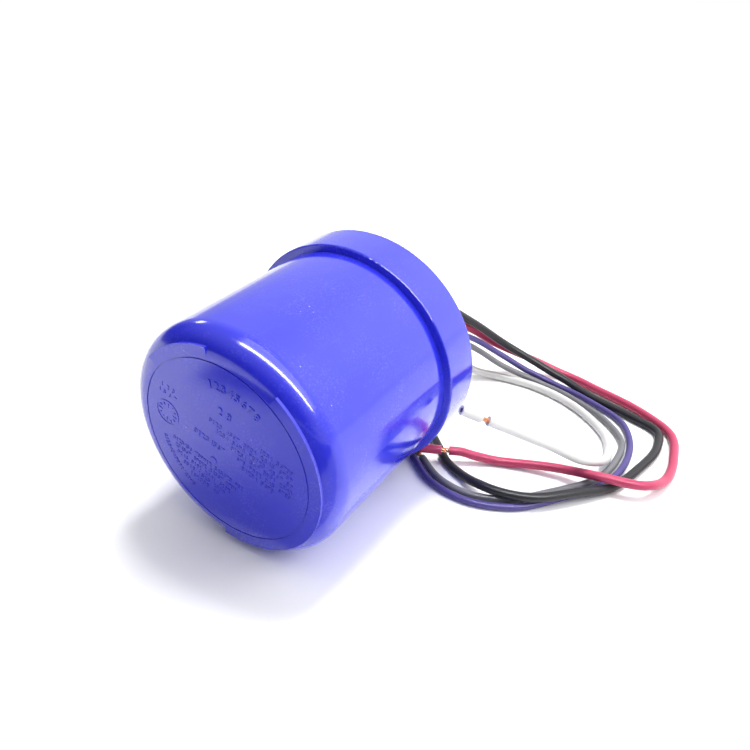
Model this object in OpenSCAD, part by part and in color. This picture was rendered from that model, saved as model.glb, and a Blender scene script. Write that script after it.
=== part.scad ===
// Photoelectric lighting control: a moulded cup with a collar at its open end,
// closed by a base with a threaded stem that five leads come out of.
// It lies on its side, as it comes to rest, with its face towards -Y.
// Own frame of the pieces: +Z along the cup from its base plane to its face.

/* [Cup] */
// Outer diameter of the collar at the base
collar_d = 84; // [80:0.5:90]
// Height of the collar
collar_h = 16; // [13:0.5:20]
// Radius of the collar's edges
collar_edge_r = 0.6; // [0.3:0.1:1]
// Diameter of the cup where it leaves the collar
cup_base_d = 79; // [76:0.5:80]
// Diameter of the cup below its rounded edge
cup_top_d = 78; // [75:0.5:79]
// Height of the cup from base plane to face
cup_h = 78; // [74:1:90]
// Radius of the rounded edge round the face
edge_r = 7.7; // [5:0.1:10]
// Thickness of the moulding
wall = 2.2; // [1.8:0.1:2.6]

/* [Face] */
// Radius of the round panel on the face
panel_r = 31; // [28:0.5:31]
// Radius that the date tabs carry the flat face out to
tab_r = 35; // [33.5:0.1:35.5]
// Angles where each date tab starts and ends
tab_angles = [[90, 134], [-100, 49]];
// Width of the groove round the panel
groove_w = 0.4; // [0.3:0.1:0.8]
// Depth of the groove
groove_depth = 0.3; // [0.2:0.1:0.8]

/* [Window] */
// Width of the light window
window_w = 20; // [12:1:24]
// Height of the light window along the cup
window_h = 16; // [10:1:20]
// Distance of its middle from the base plane
window_z = 38; // [34:1:42]

/* [Base and stem] */
// Thickness of the base plate
plate_t = 3.2; // [2.8:0.1:3.6]
// Outer diameter of the stem's thread
stem_d = 20.9; // [20:0.1:21.5]
// Bore of the stem
stem_bore_d = 15.8; // [15:0.1:16.5]
// Depth of the stem's thread
thread_depth = 1; // [0.6:0.1:1.2]
// Length of the stem beyond the base plane
stem_l = 17; // [15:0.5:22]
// Thickness of the face gasket
gasket_t = 2.5; // [2:0.1:3]
// Thickness of the locknut
nut_t = 3.5; // [3:0.1:4]

/* [Leads] */
// Diameter of the three power leads
power_d = 3.4; // [2.8:0.1:3.6]
// Diameter of the two dimming leads
dim_d = 2.6; // [2:0.1:2.8]
// Bared gap between a lead and the slug at its tip
bare_gap = 3; // [2:0.5:5]
// Length of the slug of insulation left on the tip
slug_l = 8; // [6:0.5:10]

/* [Hidden] */
$fn = 96;
eps = 0.01;

collar_r = collar_d / 2;
cup_base_r = cup_base_d / 2;
cup_top_r = cup_top_d / 2;
edge_z = cup_h - edge_r;
edge_mid_r = cup_top_r - edge_r;
rim_z = collar_h - collar_edge_r;
rim_mid_r = collar_r - collar_edge_r;

// At rest the collar's front edge and the cup's rounded edge both touch the surface
rest_run = edge_z - rim_z;
rest_drop = rim_mid_r - edge_mid_r;
rest_tilt = atan2(rest_drop, rest_run)
    - asin((edge_r - collar_edge_r) / norm([rest_run, rest_drop]));

// The base plane's centre, which puts the box's bottom centre at the origin
stem_r = stem_d / 2;
stem_root_r = stem_r - thread_depth / 2;
edge_reach = edge_z * cos(rest_tilt) + edge_mid_r * sin(rest_tilt) + edge_r;
tab_reach = cup_h * cos(rest_tilt) + tab_r * sin(rest_tilt);
back_reach = stem_l * cos(rest_tilt) + stem_r * sin(rest_tilt);
base_y = (max(edge_reach, tab_reach) - back_reach) / 2;
base_z = rim_mid_r * cos(rest_tilt) + rim_z * sin(rest_tilt) + collar_edge_r;

// A point of the pieces' own frame, in the frame of the whole
function laid_point(p) = [
    p.x,
    base_y - sin(rest_tilt) * p.y - cos(rest_tilt) * p.z,
    base_z + cos(rest_tilt) * p.y - sin(rest_tilt) * p.z
];

// Cavity and base
seat_lip = 1.6;
plate_gap = 0.1;
plate_z = 0.4;
plate_top = plate_z + plate_t;
mouth_r = collar_r - wall;
plate_r = mouth_r - plate_gap;
cavity_r = mouth_r - seat_lip;
boss_angles = [30, 150, 270];
boss_place_r = 33;
boss_r = 3.8;
boss_top = 26;
screw_r = 1.45;
screw_hole_r = 1.5;
screw_head_r = 2.9;
screw_head_t = 1.8;
screw_l = 14;
plate_rib_t = 1.6;
plate_rib_h = 4;
plate_rib_in = 16;
plate_rib_out = 28;

// Stem, gasket and nut
stem_flange_r = 14;
stem_flange_t = 2.4;
stem_hole_gap = 0.05;
bore_r = stem_bore_d / 2;
gasket_r = 30;
nut_r = 14.2;
nut_lug_r = 16.6;
nut_lugs = 6;
nut_lug_w = 6;
nut_dish = 0.8;
plug_face_z = -(stem_l - 2);
plug_top_z = 9.5;

// Circuit board
board_z = 12;
board_t = 1.6;
board_top = board_z + board_t;
board_r = 29;
post_r = 3;
post_place_r = 24;
post_angles = [90, 210, 330];
board_screw_head_r = 2.4;
board_screw_head_t = 1.6;
board_screw_r = 1.2;
board_screw_hole_r = 1.25;
board_screw_l = 5;
pin_r = 0.4;
pin_hole_r = 0.5;
pin_tail = 1.8;

// Places of the components on the board and their lead spacings
relay_at = [4, -12];
relay_size = [28, 12.4, 19];
relay_pins = [for (x = [-11.5, 8.5], y = [-3.8, 3.8]) relay_at + [x, y]];
varistor_at = [-5, 18.5];
varistor_r = 8;
varistor_t = 4.2;
varistor_pins = [varistor_at - [3.75, 0], varistor_at + [3.75, 0]];
film_at = [10.5, 8];
film_size = [18, 7, 13];
film_pins = [film_at - [7.5, 0], film_at + [7.5, 0]];
reservoir_at = [-8, 4];
reservoir_r = 5;
reservoir_h = 17;
reservoir_pins = [reservoir_at - [2.5, 0], reservoir_at + [2.5, 0]];
timing_at = [-18.5, -3];
timing_r = 3.15;
timing_h = 11;
timing_pins = [timing_at - [1.25, 0], timing_at + [1.25, 0]];
transformer_at = [22.5, -0.5];
transformer_size = [8, 8, 8];
transformer_pins = [for (x = [-2.5, 2.5], y = [-2.5, 2.5]) transformer_at + [x, y]];
resistor_r = 1.2;
resistor_l = 6.3;
resistor_span = 10;
resistor_places = [[10.5, 15.5], [10.5, 19], [-8, -22]];
resistor_pins = [for (p = resistor_places, s = [-1, 1]) p + [s * resistor_span / 2, 0]];
diode_r = 1.35;
diode_l = 5.2;
diode_span = 9;
diode_places = [[-18.5, 9.5], [-18.5, 13]];
diode_pins = [for (p = diode_places, s = [-1, 1]) p + [s * diode_span / 2, 0]];
chip_at = [0.5, -2.2];
chip_size = [5, 4, 1.5];
chip_pitch = 1.27;
sensor_board_at = [-25, 0];
sensor_board_size = [1.2, 14, 30];
sensor_r = 2.5;
sensor_l = 4.5;
axial_lift = 0.6;
wire_r = 0.48;
PIN_HOLES = concat(relay_pins, varistor_pins, film_pins, reservoir_pins, timing_pins,
    transformer_pins, resistor_pins, diode_pins);

// Where each lead leaves the sealing plug, across and up from the stem's axis
black_out = [-0.5, 4.6];
red_out = [4.2, 1.2];
white_out = [-4.2, 0.5];
purple_out = [2.6, -3.6];
grey_out = [-1.4, -4.6];
straight_l = 9;
lead_sides = 8;

// Routes beyond the stem, from the photograph, chosen by hand
black_points = [
    [3, 70, 45], [13, 94.5, 28.5], [24, 106.5, 16], [36, 111, 9], [50, 111.5, 4],
    [68, 105, 1.7], [86, 98.5, 1.7], [96.5, 93, 1.7], [99, 82, 1.7], [96.5, 64, 1.7],
    [91.5, 48, 2], [82, 35, 4], [68, 22.5, 4.6], [54, 21, 4.2], [43, 25.6, 2],
    [37.5, 28.4, 1.7], [33.6, 31.1, 1.7], [30.9, 33.8, 1.7]
];
red_points = [
    [6.5, 70, 39.5], [11.5, 97.5, 23.5], [20, 108, 14], [34, 115, 7.5], [52, 117.5, 2.5],
    [68, 113, 1.7], [88.5, 104.3, 1.7], [101.5, 94, 1.7], [106, 78, 1.7], [106.9, 70, 1.8],
    [106.5, 62, 2.2], [101.5, 50, 5.4], [90, 46.5, 5.9], [72, 46, 3.6], [52, 41, 1.8],
    [43, 37, 3.3], [38, 34.4, 4.9], [34.5, 32.4, 5.2]
];
white_points = [
    [-3, 68, 39], [0, 82, 23], [8, 93, 8.5], [18, 99, 2.6], [34, 102, 1.7],
    [52, 99, 1.7], [70, 89, 1.7], [82, 75, 1.7], [84.6, 65, 2.5], [84.5, 55, 6],
    [80, 46.5, 10], [71, 38.5, 17], [53, 22, 30.5]
];
purple_points = [
    [4, 68, 37], [8.5, 83.5, 27.5], [14.5, 95.5, 20], [24, 103, 12], [38, 108, 4.2],
    [53, 107, 1.6], [69.5, 101, 1.3], [82, 93.5, 1.3], [89, 81, 1.3], [91.3, 66, 1.3],
    [89.5, 52, 1.3], [78.5, 34, 1.3], [66, 19.5, 1.3], [51, 14, 1.3], [36, 16.5, 1.3],
    [22.5, 26.5, 1.3]
];
grey_points = [
    [-0.5, 66, 36], [4.5, 81, 27], [16.5, 96.5, 14.4], [26, 101.5, 7.5], [38, 105, 3],
    [50, 104.2, 1.3], [62, 99.5, 1.3], [78, 89.5, 1.3], [86.5, 78.5, 1.3], [88, 66, 1.3],
    [86.5, 54, 1.3], [74, 34.5, 1.3], [60.5, 21, 1.3], [48, 17.6, 1.3], [37, 20, 1.3],
    [25.5, 28, 1.3]
];

BLUE = [0.3, 0.29, 0.85];
SMOKE = [0.55, 0.6, 0.68, 0.5];
BASE_BLACK = [0.09, 0.09, 0.1];
ZINC = [0.7, 0.71, 0.73];
RUBBER = [0.12, 0.12, 0.13];
EPOXY = [0.16, 0.15, 0.15];
BOARD_GREEN = [0.1, 0.35, 0.2];
COPPER = [0.8, 0.47, 0.28];
LEAD_BLACK = [0.1, 0.1, 0.12];
LEAD_RED = [0.78, 0.28, 0.38];
LEAD_WHITE = [0.9, 0.9, 0.89];
LEAD_PURPLE = [0.36, 0.3, 0.6];
LEAD_GREY = [0.48, 0.48, 0.5];

// Lays a piece on its side, face towards -Y and dipping by the rest tilt
module laid() {
    translate([0, base_y, base_z])
        rotate([90 + rest_tilt, 0, 0])
            children();
}

// Half outline of the cup, its edge rounded, for turning about the axis
module cup_outline(grow, height) {
    r = edge_r + grow;
    top_r = cup_top_r + grow;
    mid_r = top_r - r;
    polygon([
        [0, 0],
        [cup_base_r + grow, 0],
        [cup_base_r + grow, collar_h],
        [top_r, height - r],
        [0, height - r]
    ]);
    square([mid_r, height]);
    translate([mid_r, height - r])
        circle(r);
}

// Half outline of the collar, its two edges rounded, for turning about the axis
module collar_outline() {
    square([rim_mid_r, collar_h]);
    translate([0, collar_edge_r])
        square([collar_r, rim_z - collar_edge_r]);
    for (z = [collar_edge_r, rim_z])
        translate([rim_mid_r, z])
            circle(collar_edge_r);
}

// The date tabs, which carry the flat face out over the rounded edge
module date_tabs() {
    translate([0, 0, cup_h - wall])
        linear_extrude(wall)
            for (t = tab_angles)
                intersection() {
                    circle(tab_r);
                    sector(t[0], t[1]);
                }
}

// A sector between two angles that reaches beyond the tabs
module sector(from, to) {
    reach = 2 * tab_r;
    steps = 4;
    polygon(concat(
        [[0, 0]],
        [for (i = [0:steps]) let (a = from + (to - from) * i / steps) reach * [cos(a), sin(a)]]
    ));
}

// The window's opening through the wall, on the -X side
module window_block(grow, depth_in, depth_out) {
    translate([-depth_out, -window_w / 2 - grow, window_z - window_h / 2 - grow])
        cube([depth_out - depth_in, window_w + 2 * grow, window_h + 2 * grow]);
}

// Radii of the cup's wall at a height, outside and inside
function cup_r_at(z) = cup_base_r
    + (cup_top_r - cup_base_r) * (z - collar_h) / (edge_z - collar_h);

module housing() {
    color(BLUE)
    laid() {
        difference() {
            union() {
                rotate_extrude() {
                    cup_outline(0, cup_h);
                    collar_outline();
                }
                date_tabs();
            }
            translate([0, 0, -eps])
                cylinder(r = mouth_r, h = plate_top + eps);
            rotate_extrude()
                square([cavity_r, collar_h - wall]);
            rotate_extrude()
                cup_outline(-wall, cup_h - wall);
            window_block(0, cup_top_r - 3 * wall, collar_r);
            translate([0, 0, cup_h - groove_depth])
                difference() {
                    cylinder(r = panel_r, h = 2 * groove_depth);
                    translate([0, 0, -eps])
                        cylinder(r = panel_r - groove_w, h = 3 * groove_depth);
                }
        }
        for (a = boss_angles)
            rotate(a)
                translate([boss_place_r, 0, 0])
                    screw_boss();
        window_frame();
    }
}

// A post for a base screw, blended into the wall by a web
module screw_boss() {
    web_t = 2;
    difference() {
        union() {
            translate([0, 0, plate_top])
                cylinder(r = boss_r, h = boss_top - plate_top);
            translate([0, -web_t / 2, collar_h])
                cube([cup_top_r - wall - boss_place_r + 0.6, web_t, boss_top - collar_h]);
        }
        translate([0, 0, plate_top - eps])
            cylinder(r = screw_hole_r, h = screw_l + 2);
    }
}

// A raised frame round the window inside the cup, which the lens drops into
module window_frame() {
    frame_t = 1.4;
    frame_in = 2.4;
    lens_gap = 0.1;
    lens_flange = 2;
    inner_r = cup_r_at(window_z) - wall;
    difference() {
        intersection() {
            window_block(lens_flange + lens_gap + frame_t, inner_r - frame_in, collar_r);
            translate([0, 0, window_z - window_h])
                cylinder(r = cup_top_r - wall / 2, h = 2 * window_h);
        }
        window_block(lens_flange + lens_gap, 0, collar_r);
    }
}

module light_window() {
    lens_gap = 0.1;
    lens_flange = 2;
    flange_t = 1.6;
    inner_r = cup_r_at(window_z + window_h / 2 + lens_flange) - wall;
    color(SMOKE)
    laid()
        union() {
            intersection() {
                rotate_extrude()
                    cup_outline(0, cup_h);
                window_block(-lens_gap, inner_r - flange_t, collar_r);
            }
            intersection() {
                window_block(lens_flange, inner_r - 2 * flange_t, collar_r);
                translate([0, 0, window_z - window_h])
                    difference() {
                        cylinder(r = inner_r - lens_gap, h = 2 * window_h);
                        translate([0, 0, -eps])
                            cylinder(r = inner_r - flange_t, h = 2 * window_h + 2 * eps);
                    }
            }
        }
}

module base_plate() {
    color(BASE_BLACK)
    laid()
        difference() {
            union() {
                translate([0, 0, plate_z])
                    cylinder(r = plate_r, h = plate_t);
                for (a = post_angles)
                    rotate(a)
                        translate([post_place_r, 0, plate_top - eps])
                            cylinder(r = post_r, h = board_z - plate_top + eps);
                for (a = [0:60:300])
                    rotate(a)
                        translate([plate_rib_in, -plate_rib_t / 2, plate_top - eps])
                            cube([plate_rib_out - plate_rib_in, plate_rib_t, plate_rib_h]);
            }
            translate([0, 0, -eps])
                cylinder(r = stem_root_r + stem_hole_gap, h = plate_top + 2 * eps);
            for (a = post_angles)
                rotate(a)
                    translate([post_place_r, 0, board_z - board_screw_l])
                        cylinder(r = board_screw_hole_r, h = board_screw_l + eps);
            for (a = boss_angles)
                rotate(a)
                    translate([boss_place_r, 0, -eps]) {
                        cylinder(r = screw_hole_r + 0.1, h = plate_top + 2 * eps);
                        cylinder(r = screw_head_r + 0.3, h = plate_z + screw_head_t + eps);
                    }
        }
}

module base_screws() {
    slot_w = 0.8;
    slot_depth = 0.8;
    head_z = plate_z + screw_head_t;
    color(ZINC)
    laid()
        for (a = boss_angles)
            rotate(a)
                translate([boss_place_r, 0, head_z])
                    difference() {
                        union() {
                            translate([0, 0, -screw_head_t])
                                cylinder(r = screw_head_r, h = screw_head_t);
                            cylinder(r = screw_r, h = screw_l);
                        }
                        for (turn = [0, 90])
                            rotate(turn)
                                translate([-1.7, -slot_w / 2, -screw_head_t - eps])
                                    cube([3.4, slot_w, slot_depth + eps]);
                    }
}

// Inside the plate, gasket and nut the stem is drawn at its thread's mean radius, since
// there the thread engages, and beyond them at the radius of the thread's crests
module stem() {
    mouth_bevel = 0.8;
    root_l = gasket_t + nut_t - plate_z;
    color(ZINC)
    laid()
        difference() {
            union() {
                translate([0, 0, -stem_l])
                    cylinder(r = stem_r, h = stem_l - root_l);
                translate([0, 0, -root_l - eps])
                    cylinder(r = stem_root_r, h = root_l + plate_top + 2 * eps);
                translate([0, 0, plate_top])
                    cylinder(r = stem_flange_r, h = stem_flange_t, $fn = 6);
            }
            translate([0, 0, -stem_l - eps])
                cylinder(r = bore_r, h = stem_l + plate_top + stem_flange_t + 2 * eps);
            translate([0, 0, -stem_l - eps])
                cylinder(r1 = bore_r + mouth_bevel, r2 = bore_r, h = mouth_bevel);
        }
}

module face_gasket() {
    color(RUBBER)
    laid()
        translate([0, 0, plate_z - gasket_t])
            difference() {
                cylinder(r = gasket_r, h = gasket_t);
                translate([0, 0, -eps])
                    cylinder(r = stem_root_r + stem_hole_gap, h = gasket_t + 2 * eps);
            }
}

// A dished ring with lugs, as conduit locknuts have
module locknut() {
    color(ZINC)
    laid()
        translate([0, 0, plate_z - gasket_t - nut_t])
            difference() {
                union() {
                    cylinder(r = nut_r, h = nut_t);
                    for (i = [0:nut_lugs - 1])
                        rotate(i * 360 / nut_lugs)
                            intersection() {
                                translate([0, -nut_lug_w / 2, nut_dish])
                                    cube([nut_lug_r, nut_lug_w, nut_t - 2 * nut_dish]);
                                cylinder(r = nut_lug_r, h = nut_t);
                            }
                }
                translate([0, 0, -eps])
                    cylinder(r = stem_root_r + stem_hole_gap, h = nut_t + 2 * eps);
                translate([0, 0, nut_t - nut_dish])
                    cylinder(r1 = stem_r, r2 = nut_r - 1, h = nut_dish + eps);
            }
}

// Potting that fills the stem's bore and holds the leads
module sealing_plug() {
    color(EPOXY)
    laid()
        translate([0, 0, plug_face_z])
            cylinder(r = bore_r, h = plug_top_z - plug_face_z);
}

module circuit_board() {
    color(BOARD_GREEN)
    laid()
        translate([0, 0, board_z])
            difference() {
                cylinder(r = board_r, h = board_t);
                translate([0, 0, -eps])
                    linear_extrude(board_t + 2 * eps) {
                        for (a = post_angles)
                            rotate(a)
                                translate([post_place_r, 0])
                                    circle(board_screw_hole_r);
                        for (p = PIN_HOLES)
                            translate(p)
                                circle(pin_hole_r, $fn = 24);
                    }
            }
}

module board_screws() {
    color(ZINC)
    laid()
        for (a = post_angles)
            rotate(a)
                translate([post_place_r, 0, board_top]) {
                    cylinder(r = board_screw_head_r, h = board_screw_head_t);
                    translate([0, 0, -board_screw_l])
                        cylinder(r = board_screw_r, h = board_screw_l + eps);
                }
}

// Pins from a component's underside through the board
module pins(places, top) {
    for (p = places)
        translate([p.x, p.y, board_z - pin_tail])
            cylinder(r = pin_r, h = top - board_z + pin_tail, $fn = 24);
}

module box_on_board(place, size, lift) {
    translate([place.x - size.x / 2, place.y - size.y / 2, board_top + lift])
        cube(size);
}

module relay() {
    foot = 0.4;
    color([0.12, 0.12, 0.13])
    laid() {
        difference() {
            box_on_board(relay_at, relay_size, foot);
            translate([relay_at.x, relay_at.y, board_top + foot + relay_size.z])
                cube([relay_size.x - 3, 0.6, 0.8], center = true);
        }
        pins(relay_pins, board_top + foot + eps);
    }
}

module surge_varistor() {
    lift = 2;
    color([0.15, 0.3, 0.62])
    laid() {
        translate([varistor_at.x, varistor_at.y + varistor_t / 2, board_top + lift + varistor_r])
            rotate([90, 0, 0])
                cylinder(r = varistor_r, h = varistor_t);
        pins(varistor_pins, board_top + lift + 3);
    }
}

module film_capacitor() {
    foot = 0.3;
    color([0.8, 0.72, 0.2])
    laid() {
        box_on_board(film_at, film_size, foot);
        pins(film_pins, board_top + foot + eps);
    }
}

// A round can with its crimped groove and a bare top
module can_capacitor(place, can_r, can_h) {
    crimp_z = 2;
    crimp_depth = 0.35;
    translate([place.x, place.y, board_top])
        difference() {
            cylinder(r = can_r, h = can_h);
            translate([0, 0, crimp_z])
                difference() {
                    cylinder(r = can_r + 1, h = 0.8);
                    translate([0, 0, -eps])
                        cylinder(r = can_r - crimp_depth, h = 0.8 + 2 * eps);
                }
        }
}

module reservoir_capacitor() {
    color([0.14, 0.16, 0.3])
    laid() {
        can_capacitor(reservoir_at, reservoir_r, reservoir_h);
        pins(reservoir_pins, board_top + eps);
    }
}

module timing_capacitor() {
    color([0.14, 0.16, 0.3])
    laid() {
        can_capacitor(timing_at, timing_r, timing_h);
        pins(timing_pins, board_top + eps);
    }
}

module isolating_transformer() {
    bobbin_r = 3;
    flange_t = 1.2;
    color([0.75, 0.6, 0.2])
    laid() {
        box_on_board(transformer_at, [transformer_size.x, transformer_size.y, flange_t], 0);
        translate([transformer_at.x, transformer_at.y, board_top])
            cylinder(r = bobbin_r, h = transformer_size.z);
        box_on_board(transformer_at, [transformer_size.x, transformer_size.y, flange_t],
            transformer_size.z - flange_t);
        pins(transformer_pins, board_top + eps);
    }
}

// A component lying along X between two pins that rise from the board
module axial(place, body_r, body_l, span) {
    lift = board_top + axial_lift + body_r;
    translate([place.x - body_l / 2, place.y, lift])
        rotate([0, 90, 0])
            cylinder(r = body_r, h = body_l);
    translate([place.x - span / 2 - wire_r, place.y, lift])
        rotate([0, 90, 0])
            cylinder(r = wire_r, h = span + 2 * wire_r, $fn = 24);
    pins([place - [span / 2, 0], place + [span / 2, 0]], lift);
}

module resistors() {
    color([0.78, 0.7, 0.55])
    laid()
        for (p = resistor_places)
            axial(p, resistor_r, resistor_l, resistor_span);
}

module diodes() {
    color([0.13, 0.13, 0.14])
    laid()
        for (p = diode_places)
            axial(p, diode_r, diode_l, diode_span);
}

module control_chip() {
    foot_w = 0.4;
    foot_l = 1;
    color([0.1, 0.1, 0.11])
    laid() {
        box_on_board(chip_at, chip_size, 0.1);
        for (i = [-1.5:1.5], s = [-1, 1])
            translate([chip_at.x + i * chip_pitch - foot_w / 2,
                       chip_at.y + s * (chip_size.y / 2 + foot_l / 2 - 0.1) - foot_l / 2,
                       board_top])
                cube([foot_w, foot_l, 0.6]);
    }
}

// The upright board that holds the sensor behind the window
module sensor_board() {
    color(BOARD_GREEN)
    laid()
        box_on_board(sensor_board_at, sensor_board_size, 0);
}

module light_sensor() {
    face_x = sensor_board_at.x - sensor_board_size.x / 2;
    color([0.75, 0.8, 0.85])
    laid()
        translate([face_x, 0, window_z])
            rotate([0, -90, 0]) {
                cylinder(r = sensor_r + 0.4, h = 1);
                cylinder(r = sensor_r, h = sensor_l);
            }
}

// A lead's route: straight out of the plug, then the points chosen by hand
function lead_route(out, points) = concat(
    [
        laid_point([out.x, out.y, plug_face_z]),
        laid_point([out.x, out.y, plug_face_z - straight_l])
    ],
    points
);

function unit(v) = v / norm(v);

function heading(route, i) = i == 0
    ? unit(route[1] - route[0])
    : i == len(route) - 1
        ? unit(route[i] - route[i - 1])
        : unit(unit(route[i] - route[i - 1]) + unit(route[i + 1] - route[i]));

// One ring of points round the route at point i
function ring(route, i, r) =
    let (
        ahead = heading(route, i),
        side = unit(cross(ahead, [0, 0, 1])),
        up = cross(side, ahead)
    )
    [for (k = [0:lead_sides - 1])
        let (a = (k + 0.5) * 360 / lead_sides)
        route[i] + r * (cos(a) * side + sin(a) * up)];

// A tube swept along a route, closed at both ends
module swept(route, r) {
    last = len(route) - 1;
    points = [for (i = [0:last]) each ring(route, i, r)];
    sides = [
        for (i = [0:last - 1], k = [0:lead_sides - 1])
            let (a = i * lead_sides + k, b = i * lead_sides + (k + 1) % lead_sides)
            [a, b, b + lead_sides, a + lead_sides]
    ];
    start_cap = [for (k = [lead_sides - 1:-1:0]) k];
    end_cap = [for (k = [0:lead_sides - 1]) last * lead_sides + k];
    polyhedron(points, concat(sides, [start_cap, end_cap]));
}

// Stands a child at a route's end, with +Z leading on from it
module at_tip(route) {
    d = heading(route, len(route) - 1);
    translate(route[len(route) - 1])
        rotate([0, acos(d.z), atan2(d.y, d.x)])
            children();
}

module lead(out, points, d, tint) {
    color(tint)
        swept(lead_route(out, points), d / 2);
}

// The bare strands that cross the gap and run on inside the slug
module strands(out, points, d) {
    color(COPPER)
        at_tip(lead_route(out, points))
            cylinder(d = 0.5 * d, h = bare_gap + slug_l, $fn = 24);
}

module slug(out, points, d, tint) {
    color(tint)
        at_tip(lead_route(out, points))
            translate([0, 0, bare_gap])
                difference() {
                    cylinder(d = d, h = slug_l, $fn = 32);
                    translate([0, 0, -eps])
                        cylinder(d = 0.5 * d, h = slug_l + 2 * eps, $fn = 24);
                }
}

module black_lead() { lead(black_out, black_points, power_d, LEAD_BLACK); }
module black_strands() { strands(black_out, black_points, power_d); }
module black_slug() { slug(black_out, black_points, power_d, LEAD_BLACK); }
module red_lead() { lead(red_out, red_points, power_d, LEAD_RED); }
module red_strands() { strands(red_out, red_points, power_d); }
module red_slug() { slug(red_out, red_points, power_d, LEAD_RED); }
module white_lead() { lead(white_out, white_points, power_d, LEAD_WHITE); }
module white_strands() { strands(white_out, white_points, power_d); }
module white_slug() { slug(white_out, white_points, power_d, LEAD_WHITE); }
module purple_lead() { lead(purple_out, purple_points, dim_d, LEAD_PURPLE); }
module purple_strands() { strands(purple_out, purple_points, dim_d); }
module purple_slug() { slug(purple_out, purple_points, dim_d, LEAD_PURPLE); }
module grey_lead() { lead(grey_out, grey_points, dim_d, LEAD_GREY); }
module grey_strands() { strands(grey_out, grey_points, dim_d); }
module grey_slug() { slug(grey_out, grey_points, dim_d, LEAD_GREY); }

housing();
light_window();
base_plate();
base_screws();
stem();
face_gasket();
locknut();
sealing_plug();
circuit_board();
board_screws();
relay();
surge_varistor();
film_capacitor();
reservoir_capacitor();
timing_capacitor();
isolating_transformer();
resistors();
diodes();
control_chip();
sensor_board();
light_sensor();
black_lead();
black_strands();
black_slug();
red_lead();
red_strands();
red_slug();
white_lead();
white_strands();
white_slug();
purple_lead();
purple_strands();
purple_slug();
grey_lead();
grey_strands();
grey_slug();
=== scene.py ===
# Finishes, leads and small details for a photoelectric lighting control lying on its side.
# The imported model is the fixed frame, and every piece here is made in the same frame, in metres.

import math

import bmesh
import bpy
from mathutils import Matrix, Vector


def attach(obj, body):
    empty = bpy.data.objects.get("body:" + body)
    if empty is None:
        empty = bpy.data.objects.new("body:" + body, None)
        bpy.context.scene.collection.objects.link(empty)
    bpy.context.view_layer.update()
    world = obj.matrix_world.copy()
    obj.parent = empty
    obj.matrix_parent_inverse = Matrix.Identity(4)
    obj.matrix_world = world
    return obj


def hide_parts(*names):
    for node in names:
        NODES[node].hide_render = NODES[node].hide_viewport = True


bl_info = {
    "name": "Lighting Control Looks",
    "version": (1, 0, 0),
    "blender": (4, 5, 0),
    "location": "View3D > Sidebar > Lighting Control",
    "description": "Finishes, leads, thread, numbers and stage for a photoelectric control",
    "category": "Object",
}

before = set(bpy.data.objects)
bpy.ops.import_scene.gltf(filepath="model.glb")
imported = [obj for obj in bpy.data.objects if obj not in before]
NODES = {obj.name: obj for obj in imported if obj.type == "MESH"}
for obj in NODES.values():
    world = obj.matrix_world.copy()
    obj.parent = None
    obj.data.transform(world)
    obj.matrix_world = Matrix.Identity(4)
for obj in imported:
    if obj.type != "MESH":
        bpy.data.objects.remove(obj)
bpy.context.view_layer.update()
MM = 0.001

# The cup's own frame: +Z along the cup from its base plane to its face, laid on its side
REST_TILT = math.radians(3.11686)
BASE_Y = 31.1223 * MM
BASE_Z = 42.7761 * MM
LAID = Matrix.Translation((0, BASE_Y, BASE_Z)) @ Matrix.Rotation(math.pi / 2 + REST_TILT, 4, "X")
CUP_H = 78 * MM
PLUG_FACE_Z = -15 * MM
STEM_BORE_R = 7.9 * MM
STEM_R = 10.45 * MM
STEM_END_Z = -17 * MM

# The straight start of each lead, and the bare gap and the slug on its tip
STRAIGHT_L = 9 * MM
BARE_GAP = 3 * MM
SLUG_L = 8 * MM

# The camera that took the photograph: place and lens in mm, direction in degrees
CAMERA_AT = (125.199, -160.452, 154.910)
CAMERA_AZIMUTH = 32.69
CAMERA_ELEVATION = 29.04
LENS = 32.95
SENSOR_W = 36

# Marks on the face, in a frame on the face whose rows of numbers run level
TEXT_TURN = math.radians(-20)
DIAL_AT = (-22.4 * MM, -1.0 * MM, 0)
DIAL_R = 4.6 * MM
DIAL_BAND = 0.45 * MM
DIAL_MARKS = 12
MARK_INSET = 1.0 * MM
MARK_W = 0.35 * MM
LONG_MARK = 1.6 * MM
SHORT_MARK = 0.9 * MM
DOT_AT = (-3.0 * MM, -6.2 * MM, 0)
DOT_FOOT_R = 1.7 * MM
DOT_TOP_R = 1.1 * MM

# Arcs of numbers: text, first and last angle in degrees, radius in mm and size of digit
ARCS = (
    ("12345678", 111, 69, 23.4, "large"),
    ("0123456789012345", 207, 249, 25.0, "small"),
)

# Rows of numbers: text, left end, right end and height in mm, and size of digit
ROWS = (
    ("28", -3.6, -0.4, 14.6, "large"),
    ("1234 56789", 12.0, 23.0, 11.2, "small"),
    ("0123 4567 8901 2345 6789", -6.5, 23.4, 8.8, "small"),
    ("1234 5678 90123 4567 89", -3.5, 24.0, 6.4, "small"),
    ("01234 567 8901 2345", 2.6, 24.4, 4.0, "small"),
    ("678 9012 345 6789", 5.2, 24.4, 1.6, "small"),
    ("01234 5678", 7.6, 18.6, -0.8, "small"),
    ("01234567", -11.1, -0.4, 0.4, "medium"),
    ("0123456 789012 345678 901", -18.8, 8.6, -9.2, "small"),
    ("234567 89012 34567 8901", -17.6, 6.4, -11.7, "small"),
    ("0246 8101 2141 6182", -16.6, 4.4, -14.2, "small"),
    ("0510 1520 2530", -13.6, 2.6, -16.7, "small"),
    ("102030 40", -10.4, 0.4, -19.2, "small"),
    ("123", -25.4, -21.0, 9.0, "small"),
    ("4567", -26.4, -20.0, 6.4, "small"),
)

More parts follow.
